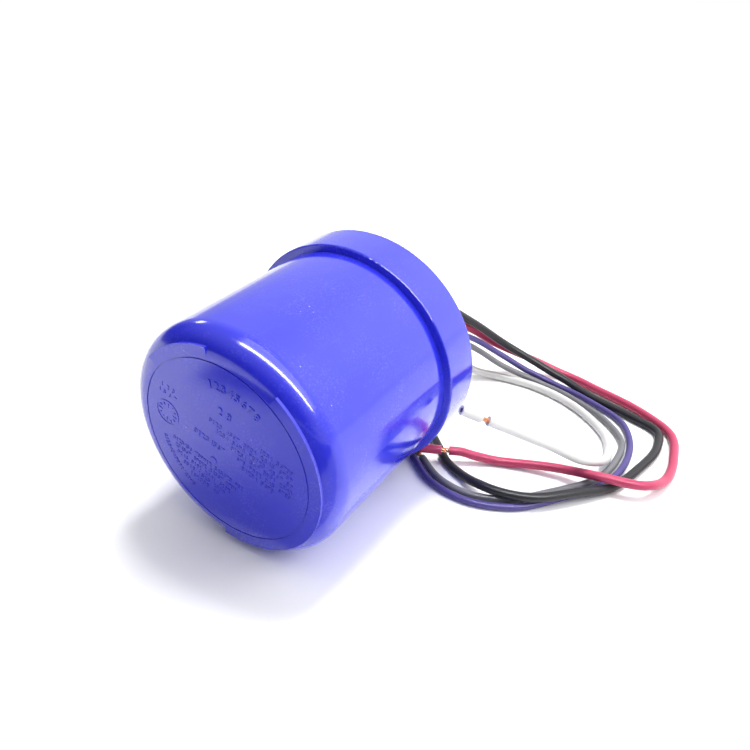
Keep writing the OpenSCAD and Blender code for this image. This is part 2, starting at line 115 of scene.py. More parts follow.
# Where each lead leaves the potting, across and up from the stem's axis, and its route, in mm
OUTS = {
    "black": (-0.5, 4.6),
    "red": (4.2, 1.2),
    "white": (-4.2, 0.5),
    "purple": (2.6, -3.6),
    "grey": (-1.4, -4.6),
}
ROUTES = {
    "black": [
        (3, 70, 45), (13, 94.5, 28.5), (24, 106.5, 16), (36, 111, 9), (50, 111.5, 4),
        (68, 105, 1.7), (86, 98.5, 1.7), (96.5, 93, 1.7), (99, 82, 1.7), (96.5, 64, 1.7),
        (91.5, 48, 2), (82, 35, 4), (68, 22.5, 4.6), (54, 21, 4.2), (43, 25.6, 2),
        (37.5, 28.4, 1.7), (33.6, 31.1, 1.7), (30.9, 33.8, 1.7),
    ],
    "red": [
        (6.5, 70, 39.5), (11.5, 97.5, 23.5), (20, 108, 14), (34, 115, 7.5), (52, 117.5, 2.5),
        (68, 113, 1.7), (88.5, 104.3, 1.7), (101.5, 94, 1.7), (106, 78, 1.7), (106.9, 70, 1.8),
        (106.5, 62, 2.2), (101.5, 50, 5.4), (90, 46.5, 5.9), (72, 46, 3.6), (52, 41, 1.8),
        (43, 37, 3.3), (38, 34.4, 4.9), (34.5, 32.4, 5.2),
    ],
    "white": [
        (-3, 68, 39), (0, 82, 23), (8, 93, 8.5), (18, 99, 2.6), (34, 102, 1.7),
        (52, 99, 1.7), (70, 89, 1.7), (82, 75, 1.7), (84.6, 65, 2.5), (84.5, 55, 6),
        (80, 46.5, 10), (71, 38.5, 17), (53, 22, 30.5),
    ],
    "purple": [
        (4, 68, 37), (8.5, 83.5, 27.5), (14.5, 95.5, 20), (24, 103, 12), (38, 108, 4.2),
        (53, 107, 1.6), (69.5, 101, 1.3), (82, 93.5, 1.3), (89, 81, 1.3), (91.3, 66, 1.3),
        (89.5, 52, 1.3), (78.5, 34, 1.3), (66, 19.5, 1.3), (51, 14, 1.3), (36, 16.5, 1.3),
        (22.5, 26.5, 1.3),
    ],
    "grey": [
        (-0.5, 66, 36), (4.5, 81, 27), (16.5, 96.5, 14.4), (26, 101.5, 7.5), (38, 105, 3),
        (50, 104.2, 1.3), (62, 99.5, 1.3), (78, 89.5, 1.3), (86.5, 78.5, 1.3), (88, 66, 1.3),
        (86.5, 54, 1.3), (74, 34.5, 1.3), (60.5, 21, 1.3), (48, 17.6, 1.3), (37, 20, 1.3),
        (25.5, 28, 1.3),
    ],
}
LEADS = tuple(ROUTES)
POWER_LEADS = ("black", "red", "white")

# Layers of a lead's strands: how many, and the layer's radius in strand radii, the outer one
# drawn in a little so that the bundle stays within the slug's bore
STRAND_LAYERS = ((1, 0.0), (6, 2.0), (12, 3.94))
STRAND_SIDES = 6
STRAND_STEPS = 22

# Thread: steps in one turn, and more turns than the stem has, since its ends are cut off
THREAD_STEPS = 72
THREAD_TURNS = 14
THREAD_TOP_Z = 1.0 * MM

# Potting: rings round its edge, the length past which an edge is divided, how far the potting
# climbs, over how far the climb dies away, and the gap that keeps its face off the CAD plug's
POTTING_RINGS = 3
RING_W = 0.5 * MM
LONG_EDGE = 0.6 * MM
POTTING_CLIMB = 0.9 * MM
CLIMB_REACH = 0.5 * MM
SKIN_GAP = 0.02 * MM

# How deep a full bump is in each kind of surface
MOULDING_BUMP = 0.4 * MM
PLATING_BUMP = 0.2 * MM
FOAM_BUMP = 0.3 * MM
TRACK_BUMP = 0.1 * MM

# Lamps: the setting of their power, place, aim and size in metres, and the rays that see them
LAMPS = {
    "key_light": ("key_power", (0.05, 0.25, 0.9), (0.0, 0.0, 0.0), (0.25, 0.25), "diffuse"),
    "side_light": ("side_power", (0.8, 0.3, 0.7), (0.0, 0.0, 0.03), (0.6, 0.6), "diffuse"),
    "strip_light": ("strip_power", (0.6, -0.23, 0.78), (0.6, -0.1, 0.0), (1.6, 0.1), "glossy"),
    "sheen_light": ("sheen_power", (0.6, 0.0, 0.8), (0.6, 0.0, 0.0), (1.6, 0.36), "glossy"),
    "small_lamp": ("small_power", (-0.8, 0.3, 0.5), (0.0, 0.0, 0.05), (0.12, 0.1), "glossy"),
}

# Directions that the room glows from, with the setting of each glow's brightness
GLOWS = (((0, 1, 0.15), "back_glow"), ((1, 0.4, 0.2), "right_glow"), ((0, 0, 1), "top_glow"))
GLOW_RANGE = (0.2, 0.95)

# The floor's size, and how far out it is lifted towards white, in metres, and by how much
FLOOR_SIZE = (30, 30)
LIFT_RANGE = (0.35, 1.3)
FLOOR_LIFT = 0.45

# The reflection card's place and size in metres, where its painted shades change in X and Y, and
# the shades
CARD_AT = (0.5, -0.78, 0.0005)
CARD_SIZE = (1.4, 1.456)
FADE_X = (-0.1, 0.0)
DARK_X = (-0.09, -0.08)
DARK_Y = (-0.103, -0.112)
# Painted shade seen only in reflections: grey beside the face on the right, pale like the floor on
# the left
PAINTED_SHADE_GREYS = (0.93, 0.47)
# Painted dark reflection: the shade of the card's far part, in front of the face
PAINTED_DARK_REFLECTION = 0.02


class HousingSettings(bpy.types.PropertyGroup):
    blue: bpy.props.FloatVectorProperty(
        name="Housing blue", description="Colour of the moulded cup", subtype="COLOR",
        size=3, min=0, max=1, default=(0.02, 0.024, 0.56),
    )
    gloss: bpy.props.FloatProperty(
        name="Housing roughness", description="Roughness of the polished moulding",
        min=0, max=1, default=0.16,
    )
    waviness: bpy.props.FloatProperty(
        name="Waviness", description="How much the moulding's surface rolls",
        min=0, max=1, default=0.12,
    )


class NumberSettings(bpy.types.PropertyGroup):
    large: bpy.props.FloatProperty(
        name="Large digits", description="Size of the large numbers on the face",
        unit="LENGTH", min=0.002, max=0.005, default=0.0038,
    )
    medium: bpy.props.FloatProperty(
        name="Medium digits", description="Size of the medium numbers on the face",
        unit="LENGTH", min=0.002, max=0.004, default=0.0027,
    )
    small: bpy.props.FloatProperty(
        name="Small digits", description="Size of the small numbers on the face",
        unit="LENGTH", min=0.001, max=0.003, default=0.0022,
    )
    relief: bpy.props.FloatProperty(
        name="Relief", description="How far the numbers and marks stand proud",
        unit="LENGTH", min=0.0001, max=0.0004, default=0.00024,
    )
    boldness: bpy.props.FloatProperty(
        name="Boldness", description="How much the strokes are thickened",
        unit="LENGTH", min=0.0, max=0.0002, default=0.00006,
    )


class LeadSettings(bpy.types.PropertyGroup):
    power_d: bpy.props.FloatProperty(
        name="Power lead diameter", description="Diameter of the black, red and white leads",
        unit="LENGTH", min=0.002, max=0.005, default=0.0034,
    )
    dim_d: bpy.props.FloatProperty(
        name="Dimming lead diameter", description="Diameter of the purple and grey leads",
        unit="LENGTH", min=0.0015, max=0.004, default=0.0026,
    )
    steps: bpy.props.IntProperty(
        name="Steps", description="Points of a lead's curve between two points of its route",
        min=2, max=16, default=8,
    )
    twist: bpy.props.FloatProperty(
        name="Strand lay", description="Length in which the strands turn once",
        unit="LENGTH", min=0.005, max=0.04, default=0.016,
    )


class StemSettings(bpy.types.PropertyGroup):
    pitch: bpy.props.FloatProperty(
        name="Thread pitch", description="Distance from crest to crest",
        unit="LENGTH", min=0.001, max=0.003, default=0.0018143,
    )
    depth: bpy.props.FloatProperty(
        name="Thread depth", description="Depth of the thread below its crests",
        unit="LENGTH", min=0.0004, max=0.0014, default=0.001,
    )


class StageSettings(bpy.types.PropertyGroup):
    key_power: bpy.props.FloatProperty(
        name="Key power", description="Power of the soft light above and behind",
        min=0, max=100, default=7.0,
    )
    side_power: bpy.props.FloatProperty(
        name="Side power", description="Power of the wide light on the right",
        min=0, max=100, default=4.5,
    )
    strip_power: bpy.props.FloatProperty(
        name="Strip power", description="Power of the long lamp that draws the line round the edge",
        min=0, max=100, default=20,
    )
    sheen_power: bpy.props.FloatProperty(
        name="Sheen power", description="Power of the wide lamp reflected faintly beside the strip",
        min=0, max=100, default=4,
    )
    small_power: bpy.props.FloatProperty(
        name="Small lamp power", description="Power of the small lamp on the left",
        min=0, max=100, default=0.4,
    )
    back_glow: bpy.props.FloatProperty(
        name="Back glow", description="Brightness of the room behind the leads",
        min=0, max=4, default=0.95,
    )
    right_glow: bpy.props.FloatProperty(
        name="Right glow", description="Brightness of the room on the right",
        min=0, max=4, default=1.03,
    )
    top_glow: bpy.props.FloatProperty(
        name="Top glow", description="Brightness of the ceiling", min=0, max=4, default=0.7,
    )
    fill: bpy.props.FloatProperty(
        name="Fill", description="Brightness of the rest of the room", min=0, max=4, default=0.04,
    )


SETTINGS = {
    "housing_looks": HousingSettings,
    "number_looks": NumberSettings,
    "lead_looks": LeadSettings,
    "stem_looks": StemSettings,
    "stage_looks": StageSettings,
}


# Node groups that several finishes share

def group_tree(name, inputs, outputs):
    """A new shader node group with named float inputs (name, default) and outputs (name, type)."""
    tree = bpy.data.node_groups.new(name, "ShaderNodeTree")
    for label, default in inputs:
        socket = tree.interface.new_socket(label, in_out="INPUT", socket_type="NodeSocketFloat")
        socket.default_value = default
    for label, kind in outputs:
        tree.interface.new_socket(label, in_out="OUTPUT", socket_type=kind)
    entry = tree.nodes.new("NodeGroupInput")
    leave = tree.nodes.new("NodeGroupOutput")
    return tree, entry, leave


def add(tree, kind, values=None, **settings):
    """A node with its settings, and its inputs set by name or number."""
    node = tree.nodes.new(kind)
    for key, value in settings.items():
        setattr(node, key, value)
    for key, value in (values or {}).items():
        node.inputs[key].default_value = value
    return node


def noise_at(tree, scale, detail=3.0, roughness=0.5):
    """Noise on Object coordinates, with its scale in features per metre."""
    place = add(tree, "ShaderNodeTexCoord")
    values = {"Scale": scale, "Detail": detail, "Roughness": roughness}
    noise = add(tree, "ShaderNodeTexNoise", values)
    tree.links.new(place.outputs["Object"], noise.inputs["Vector"])
    return noise.outputs["Fac"]


def cells_at(tree, scale, feature="F1"):
    """Distance to the middle of scattered cells, with their scale in cells per metre."""
    place = add(tree, "ShaderNodeTexCoord")
    cells = add(tree, "ShaderNodeTexVoronoi", {"Scale": scale}, feature=feature)
    tree.links.new(place.outputs["Object"], cells.inputs["Vector"])
    return cells.outputs["Distance"]


def combined(tree, operation, first, second):
    """The result of one Math operation on two outputs."""
    node = add(tree, "ShaderNodeMath", operation=operation)
    tree.links.new(first, node.inputs[0])
    tree.links.new(second, node.inputs[1])
    return node.outputs[0]


def ramp(tree, value, start, end, low=0.0, high=1.0, curve="LINEAR"):
    """A value that runs from low to high while its source runs from start to end."""
    limits = {"From Min": start, "From Max": end, "To Min": low, "To Max": high}
    node = add(tree, "ShaderNodeMapRange", limits, interpolation_type=curve)
    tree.links.new(value, node.inputs["Value"])
    return node.outputs["Result"]


def moulding_group():
    """Soft rolls and fine grain of a moulded surface, as a height, with masks of dust and shade."""
    tree, entry, leave = group_tree(
        "Moulded Surface",
        [("Rolls", 0.2), ("Grain", 0.1), ("Dust", 0.1)],
        [("Height", "NodeSocketFloat"), ("Dust", "NodeSocketFloat"), ("Shade", "NodeSocketFloat")],
    )
    rolls = noise_at(tree, scale=45.0, detail=1.0)
    grain = noise_at(tree, scale=2600.0, detail=2.0)
    patches = noise_at(tree, scale=70.0, detail=4.0, roughness=0.6)
    bloom = noise_at(tree, scale=1500.0, roughness=0.7)
    specks = ramp(tree, cells_at(tree, scale=420.0), 0.11, 0.05)
    dust = combined(tree, "MULTIPLY", specks, ramp(tree, patches, 0.56, 0.7))
    haze = ramp(tree, bloom, 0.5, 0.72, high=0.14)
    veil = combined(tree, "MULTIPLY", haze, ramp(tree, patches, 0.42, 0.62))
    both = combined(tree, "MAXIMUM", dust, veil)
    high = combined(tree, "MULTIPLY", rolls, entry.outputs["Rolls"])
    fine = combined(tree, "MULTIPLY", grain, entry.outputs["Grain"])
    amount = combined(tree, "MULTIPLY", both, entry.outputs["Dust"])
    tree.links.new(combined(tree, "ADD", high, fine), leave.inputs["Height"])
    tree.links.new(amount, leave.inputs["Dust"])
    tree.links.new(patches, leave.inputs["Shade"])
    return tree


def wear_group():
    """Fine scratches and cloudy patches of a plated or rubbed surface, as a mask and a height."""
    tree, entry, leave = group_tree(
        "Rubbed Surface",
        [("Patches", 0.5), ("Scratches", 0.5)],
        [("Mask", "NodeSocketFloat"), ("Height", "NodeSocketFloat")],
    )
    clouds = noise_at(tree, scale=160.0, detail=5.0, roughness=0.62)
    place = add(tree, "ShaderNodeTexCoord")
    drawn = {"Scale": (300.0, 5200.0, 300.0), "Rotation": (0.1, 0.2, 0.4)}
    stretch = add(tree, "ShaderNodeMapping", drawn)
    tree.links.new(place.outputs["Object"], stretch.inputs["Vector"])
    lines = add(tree, "ShaderNodeTexNoise", {"Scale": 1.0, "Detail": 2.0})
    tree.links.new(stretch.outputs["Vector"], lines.inputs["Vector"])
    cloud = combined(tree, "MULTIPLY", clouds, entry.outputs["Patches"])
    scratch = combined(tree, "MULTIPLY", lines.outputs["Fac"], entry.outputs["Scratches"])
    tree.links.new(combined(tree, "ADD", cloud, scratch), leave.inputs["Mask"])
    tree.links.new(scratch, leave.inputs["Height"])
    return tree


def shared(name, maker):
    """The node group of that name, made on its first use."""
    return bpy.data.node_groups.get(name) or maker()


# Finishes

def blank_finish(name):
    """A new material's node tree and its Principled shader."""
    finish = bpy.data.materials.new(name)
    finish.use_nodes = True
    tree = finish.node_tree
    shader = next(n for n in tree.nodes if n.type == "BSDF_PRINCIPLED")
    return tree, shader


def mixed_colour(tree, mask, low, high):
    """A colour that runs from low to high with a mask."""
    mix = add(tree, "ShaderNodeMix", data_type="RGBA")
    mix.inputs["A"].default_value = (*low, 1)
    mix.inputs["B"].default_value = (*high, 1)
    tree.links.new(mask, mix.inputs["Factor"])
    return mix.outputs["Result"]


def spread(tree, mask, low, high):
    """A value that runs from low to high with a mask."""
    return ramp(tree, mask, 0.0, 1.0, low, high)


def bumped(tree, shader, height, strength, depth):
    """Joins a height to the shader's normal through a Bump node."""
    bump = add(tree, "ShaderNodeBump", {"Strength": strength, "Distance": depth})
    tree.links.new(height, bump.inputs["Height"])
    tree.links.new(bump.outputs["Normal"], shader.inputs["Normal"])


def plastic_finish(name, colour, roughness, rolls=0.1, grain=0.1, dust=0.1, bump=0.3, **sockets):
    """Moulded plastic: even colour with faint patches, dust specks and soft rolls."""
    tree, shader = blank_finish(name)
    surface = add(tree, "ShaderNodeGroup", node_tree=shared("Moulded Surface", moulding_group))
    surface.inputs["Rolls"].default_value = rolls
    surface.inputs["Grain"].default_value = grain
    surface.inputs["Dust"].default_value = dust
    darker = [c * 0.93 for c in colour]
    lighter = [min(1, c * 1.05) for c in colour]
    base = mixed_colour(tree, surface.outputs["Shade"], darker, lighter)
    dusty = add(tree, "ShaderNodeMix", data_type="RGBA")
    dusty.inputs["B"].default_value = (0.85, 0.85, 0.9, 1)
    tree.links.new(surface.outputs["Dust"], dusty.inputs["Factor"])
    tree.links.new(base, dusty.inputs["A"])
    tree.links.new(dusty.outputs["Result"], shader.inputs["Base Color"])
    tree.links.new(
        spread(tree, surface.outputs["Shade"], roughness * 0.8, roughness * 1.2),
        shader.inputs["Roughness"],
    )
    bumped(tree, shader, surface.outputs["Height"], bump, MOULDING_BUMP)
    for key, value in sockets.items():
        shader.inputs[key.replace("_", " ").title().replace("Ior", "IOR")].default_value = value


def metal_finish(name, low, high, roughness, patches=0.7, scratches=0.35):
    """Plated or bare metal with cloudy patches and fine scratches."""
    tree, shader = blank_finish(name)
    surface = add(tree, "ShaderNodeGroup", node_tree=shared("Rubbed Surface", wear_group))
    surface.inputs["Patches"].default_value = patches
    surface.inputs["Scratches"].default_value = scratches
    mask = surface.outputs["Mask"]
    tree.links.new(mixed_colour(tree, mask, low, high), shader.inputs["Base Color"])
    rubbed = spread(tree, mask, roughness * 0.7, roughness * 1.4)
    tree.links.new(rubbed, shader.inputs["Roughness"])
    shader.inputs["Metallic"].default_value = 1.0
    bumped(tree, shader, surface.outputs["Height"], 0.15, PLATING_BUMP)


def foam_finish(name, colour):
    """Closed-cell foam rubber: matt, with small open cells on its cut faces."""
    tree, shader = blank_finish(name)
    cells = cells_at(tree, scale=1500.0, feature="SMOOTH_F1")
    lighter = [c * 2.2 for c in colour]
    tree.links.new(mixed_colour(tree, cells, colour, lighter), shader.inputs["Base Color"])
    tree.links.new(spread(tree, cells, 0.75, 0.95), shader.inputs["Roughness"])
    bumped(tree, shader, cells, 0.6, FOAM_BUMP)


def window_finish(name, colour):
    """Smoked clear plastic with a faint surface haze."""
    tree, shader = blank_finish(name)
    surface = add(tree, "ShaderNodeGroup", node_tree=shared("Moulded Surface", moulding_group))
    surface.inputs["Dust"].default_value = 0.4
    dusty = mixed_colour(tree, surface.outputs["Dust"], colour, (0.9, 0.9, 0.9))
    tree.links.new(dusty, shader.inputs["Base Color"])
    tree.links.new(spread(tree, surface.outputs["Shade"], 0.04, 0.12), shader.inputs["Roughness"])
    shader.inputs["Transmission Weight"].default_value = 0.9
    shader.inputs["IOR"].default_value = 1.49


def board_finish(name):
    """Green solder mask over copper tracks, with a slight weave of the laminate below."""
    tree, shader = blank_finish(name)
    place = add(tree, "ShaderNodeTexCoord")
    weave = add(tree, "ShaderNodeTexChecker", {"Scale": 900.0})
    tree.links.new(place.outputs["Object"], weave.inputs["Vector"])
    layout = {
        "Scale": 160.0, "Mortar Size": 0.06, "Mortar Smooth": 0.1,
        "Color1": (0.012, 0.11, 0.045, 1), "Color2": (0.016, 0.13, 0.055, 1),
        "Mortar": (0.03, 0.2, 0.09, 1),
    }
    tracks = add(tree, "ShaderNodeTexBrick", layout)
    tree.links.new(place.outputs["Object"], tracks.inputs["Vector"])
    tree.links.new(tracks.outputs["Color"], shader.inputs["Base Color"])
    tree.links.new(spread(tree, weave.outputs["Fac"], 0.28, 0.36), shader.inputs["Roughness"])
    bumped(tree, shader, tracks.outputs["Fac"], 0.3, TRACK_BUMP)


# Colour of each lead's insulation
INSULATION = {
    "black": (0.02, 0.02, 0.024),
    "red": (0.47, 0.05, 0.12),
    "white": (0.62, 0.62, 0.61),
    "purple": (0.075, 0.058, 0.22),
    "grey": (0.16, 0.16, 0.175),
}


def make_finishes():
    """Makes every finish, each known by its material's name."""
    looks = bpy.context.scene.housing_looks
    plastic_finish(
        "moulded_blue", looks.blue, looks.gloss, rolls=looks.waviness, grain=0.09, dust=0.35,
        bump=0.25, coat_weight=0.4, coat_roughness=0.04,
    )
    window_finish("smoked_window", (0.42, 0.46, 0.52))
    plastic_finish("base_plastic", (0.012, 0.012, 0.014), 0.42, grain=0.5, dust=0.15)
    metal_finish("zinc_plate", (0.34, 0.36, 0.38), (0.6, 0.6, 0.58), 0.3)
    foam_finish("foam_gasket", (0.012, 0.012, 0.013))
    plastic_finish("potting_resin", (0.018, 0.016, 0.016), 0.22, rolls=0.6, dust=0.2)
    board_finish("solder_mask")
    plastic_finish("component_shell", (0.014, 0.014, 0.016), 0.4, grain=0.4)
    plastic_finish("dipped_coating", (0.02, 0.07, 0.32), 0.3, rolls=0.5)
    plastic_finish("yellow_case", (0.62, 0.42, 0.05), 0.35)
    plastic_finish("capacitor_sleeve", (0.015, 0.018, 0.06), 0.25)
    plastic_finish("resistor_lacquer", (0.5, 0.36, 0.2), 0.3)
    plastic_finish("clear_resin", (0.72, 0.76, 0.8), 0.08, dust=0.05)
    metal_finish("copper_strands", (0.62, 0.26, 0.12), (0.9, 0.52, 0.32), 0.25)
    for lead, colour in INSULATION.items():
        plastic_finish(
            f"{lead}_vinyl", colour, 0.32, rolls=0.25, grain=0.12, dust=0.12,
            specular_ior_level=0.3,
        )


# The finish of each CAD node that isn't part of a lead
NODE_FINISHES = {
    "housing": "moulded_blue", "light_window": "smoked_window", "base_plate": "base_plastic",
    "base_screws": "zinc_plate", "stem": "zinc_plate", "face_gasket": "foam_gasket",
    "locknut": "zinc_plate", "sealing_plug": "potting_resin", "circuit_board": "solder_mask",
    "board_screws": "zinc_plate", "relay": "component_shell", "surge_varistor": "dipped_coating",
    "film_capacitor": "yellow_case", "reservoir_capacitor": "capacitor_sleeve",
    "timing_capacitor": "capacitor_sleeve", "isolating_transformer": "yellow_case",
    "resistors": "resistor_lacquer", "diodes": "component_shell", "control_chip": "component_shell",
    "sensor_board": "solder_mask", "light_sensor": "clear_resin",
}


def finish_of(name):
    """One finish, from the set that is made on the first use."""
    if name not in bpy.data.materials:
        make_finishes()
    return bpy.data.materials[name]


# Helpers for pieces

def keep_piece(name, bm, finish, replaced=()):
    """A finished bmesh becomes a piece that rides on the control, with a slot for its finish."""
    mesh = bpy.data.meshes.new(name)
    bm.to_mesh(mesh)
    bm.free()
    mesh.materials.append(finish)
    piece = bpy.data.objects.new(name, mesh)
    bpy.context.scene.collection.objects.link(piece)
    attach(piece, "root")
    if replaced:
        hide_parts(*replaced)
    return piece


def smooth_by_angle(mesh, degrees):
    """Smooth shading, with edges sharper than an angle left sharp."""
    mesh.shade_smooth()
    mesh.set_sharp_from_angle(angle=math.radians(degrees))


def lead_route(lead):
    """A lead's route in metres, from the potting's face to its bared end."""
    x, y = OUTS[lead]
    start = [
        LAID @ Vector((x * MM, y * MM, PLUG_FACE_Z)),
        LAID @ Vector((x * MM, y * MM, PLUG_FACE_Z - STRAIGHT_L)),
    ]
    return start + [Vector(p) * MM for p in ROUTES[lead]]


def slope(before, here, after, lead_in, lead_out):
    """The slope of one coordinate at a point, flat where it turns, so that it never overshoots."""
    a, b = (here - before) / lead_in, (after - here) / lead_out
    if a * b <= 0:
        return 0.0
    return (lead_in + lead_out) * 3 / ((2 * lead_out + lead_in) / a + (lead_out + 2 * lead_in) / b)


def smooth_line(points, steps):
    """A smooth line through points: flowing in plan, and never above or below them in height."""
    gaps = [(b - a).length for a, b in zip(points, points[1:])]
    headings = []
    for i, here in enumerate(points):
        if i == 0:
            headings.append((points[1] - here) / gaps[0])
        elif i == len(points) - 1:
            headings.append((here - points[i - 1]) / gaps[-1])
        else:
            before, after = points[i - 1], points[i + 1]
            ahead = (here - before) / gaps[i - 1] * gaps[i] + (after - here) / gaps[i] * gaps[i - 1]
            heading = ahead / (gaps[i - 1] + gaps[i])
            heading.z = slope(before.z, here.z, after.z, gaps[i - 1], gaps[i])
            headings.append(heading)
    line = []
    for a, b, gap, go, come in zip(points, points[1:], gaps, headings, headings[1:]):
        for k in range(steps):
            t = k / steps
            line.append(
                a * (2 * t**3 - 3 * t**2 + 1)
                + go * gap * (t**3 - 2 * t**2 + t)
                + b * (3 * t**2 - 2 * t**3)
                + come * gap * (t**3 - t**2)
            )
    line.append(points[-1].copy())
    return line


def lead_diameter(lead):
    """A lead's diameter over its insulation."""
    looks = bpy.context.scene.lead_looks
    return looks.power_d if lead in POWER_LEADS else looks.dim_d


# Operators, one for each piece or group of like pieces

class CONTROL_OT_camera(bpy.types.Operator):
    """Places the camera where the photograph was taken from"""

    bl_idname = "control.camera"
    bl_label = "Camera"

    def execute(self, context):
        azimuth, elevation = math.radians(CAMERA_AZIMUTH), math.radians(CAMERA_ELEVATION)
        back = Vector((
            math.sin(azimuth) * math.cos(elevation),
            -math.cos(azimuth) * math.cos(elevation),
            math.sin(elevation),
        ))
        right = Vector((math.cos(azimuth), math.sin(azimuth), 0))
        up = back.cross(right)
        data = bpy.data.cameras.new("camera")
        data.sensor_width = SENSOR_W
        data.lens = LENS
        data.dof.use_dof = False
        data.clip_start = 0.01
        data.clip_end = 100
        camera = bpy.data.objects.new("camera", data)
        context.scene.collection.objects.link(camera)
        x, y, z = (c * MM for c in CAMERA_AT)
        camera.matrix_world = Matrix((
            (right.x, up.x, back.x, x),
            (right.y, up.y, back.y, y),
            (right.z, up.z, back.z, z),
            (0, 0, 0, 1),
        ))
        context.scene.camera = camera
        return {"FINISHED"}


class CONTROL_OT_strands(bpy.types.Operator):
    """Twists the bare copper strands between each lead and the slug on its tip"""

    bl_idname = "control.strands"
    bl_label = "Bare strands"

    def execute(self, context):
        looks = context.scene.lead_looks
        for lead in LEADS:
            route = lead_route(lead)
            ahead = (route[-1] - route[-2]).normalized()
            facing = ahead.to_track_quat("Z", "Y").to_matrix().to_4x4()
            tip = Matrix.Translation(route[-1]) @ facing
            bundle_r = lead_diameter(lead) / 4
            strand_r = bundle_r / 5
            step = (BARE_GAP + SLUG_L) / STRAND_STEPS
            turn = Matrix.Rotation(math.tau * step / looks.twist, 4, "Z")
            move = Matrix.Translation((0, 0, step)) @ turn
            bm = bmesh.new()
            for count, radius in STRAND_LAYERS:
                for n in range(count):
                    ring = bmesh.ops.create_circle(
                        bm, cap_ends=False, segments=STRAND_SIDES, radius=strand_r
                    )
                    out = Matrix.Translation((radius * strand_r, 0, 0))
                    place = Matrix.Rotation(math.tau * n / count, 4, "Z") @ out
                    bmesh.ops.transform(bm, matrix=place, verts=ring["verts"])
                    edges = list({e for v in ring["verts"] for e in v.link_edges})
                    first = edges
                    for _ in range(STRAND_STEPS):
                        grown = bmesh.ops.extrude_edge_only(bm, edges=edges)["geom"]
                        verts = [g for g in grown if isinstance(g, bmesh.types.BMVert)]
                        edges = [g for g in grown if isinstance(g, bmesh.types.BMEdge)]
                        bmesh.ops.transform(bm, matrix=move, verts=verts)
                    bmesh.ops.edgeloop_fill(bm, edges=first)
                    bmesh.ops.edgeloop_fill(bm, edges=edges)
            bmesh.ops.recalc_face_normals(bm, faces=bm.faces)
            bmesh.ops.transform(bm, matrix=tip, verts=bm.verts)
            piece = keep_piece(
                f"{lead}_strand_bundle", bm, finish_of("copper_strands"),
                (f"{lead}_strands",),
            )
            smooth_by_angle(piece.data, degrees=60)
        return {"FINISHED"}


class CONTROL_OT_leads(bpy.types.Operator):
    """Makes the five leads, each one smooth curve that runs up to the strands and slug on its tip
    """

    bl_idname = "control.leads"
    bl_label = "Leads"

    def execute(self, context):
        looks = context.scene.lead_looks
        for lead in LEADS:
            line = smooth_line(lead_route(lead), looks.steps)
            curve = bpy.data.curves.new(f"{lead}_lead_cover", "CURVE")
            curve.dimensions = "3D"
            curve.bevel_depth = lead_diameter(lead) / 2
            curve.bevel_resolution = 5
            curve.use_fill_caps = True
            spline = curve.splines.new("POLY")
            spline.points.add(len(line) - 1)
            for point, place in zip(spline.points, line):
                point.co = (*place, 1)
            spline.use_smooth = True
            curve.materials.append(finish_of(f"{lead}_vinyl"))
            cover = bpy.data.objects.new(f"{lead}_lead_cover", curve)
            context.scene.collection.objects.link(cover)
            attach(cover, "root")
            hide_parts(f"{lead}_lead")
        return {"FINISHED"}


class CONTROL_OT_stem_thread(bpy.types.Operator):
    """Cuts the thread on the stem, which stands for the plain CAD stem"""

    bl_idname = "control.stem_thread"
    bl_label = "Threaded stem"

    def execute(self, context):
        looks = context.scene.stem_looks
        crest = looks.pitch / 8
        bm = bmesh.new()
        verts = []
        for n in range(THREAD_TURNS + 1):
            z = THREAD_TOP_Z - n * looks.pitch
            for radius, drop in (
                (STEM_R - looks.depth, 0),
                (STEM_R - looks.depth, crest),
                (STEM_R, looks.pitch / 2),
                (STEM_R, looks.pitch / 2 + crest),
            ):
                verts.append(bm.verts.new((radius, 0, z - drop)))
        edges = [bm.edges.new(pair) for pair in zip(verts, verts[1:])]
        bmesh.ops.spin(
            bm, geom=verts + edges, cent=(0, 0, 0), axis=(0, 0, 1),
            dvec=(0, 0, looks.pitch / THREAD_STEPS), angle=math.tau, steps=THREAD_STEPS,
            use_merge=False, use_normal_flip=False, use_duplicate=False,
        )
        bmesh.ops.remove_doubles(bm, verts=bm.verts, dist=0.01 * MM)
        for cut, keep in ((STEM_END_Z, -1), (0.0, 1)):
            bmesh.ops.bisect_plane(
                bm, geom=bm.verts[:] + bm.edges[:] + bm.faces[:], plane_co=(0, 0, cut),
                plane_no=(0, 0, keep), clear_outer=True, dist=0.001 * MM,
            )
        rims = {True: [], False: []}
        for edge in bm.edges:
            if edge.is_boundary:
                rims[edge.verts[0].co.z < STEM_END_Z / 2].append(edge)
        for low, z in ((True, STEM_END_Z), (False, 0.0)):
            bore = bmesh.ops.create_circle(
                bm, cap_ends=False, segments=THREAD_STEPS, radius=STEM_BORE_R
            )
            bmesh.ops.translate(bm, verts=bore["verts"], vec=(0, 0, z))
            ring = list({e for v in bore["verts"] for e in v.link_edges})
            bmesh.ops.triangle_fill(bm, edges=rims[low] + ring, use_beauty=True)
            rims[low] = ring
        bmesh.ops.bridge_loops(bm, edges=rims[True] + rims[False])
        bmesh.ops.recalc_face_normals(bm, faces=bm.faces)
        bmesh.ops.transform(bm, matrix=LAID, verts=bm.verts)
        stem = keep_piece(
            "stem_with_thread", bm, finish_of("zinc_plate"), ("stem",)
        )
        smooth_by_angle(stem.data, degrees=35)
        return {"FINISHED"}


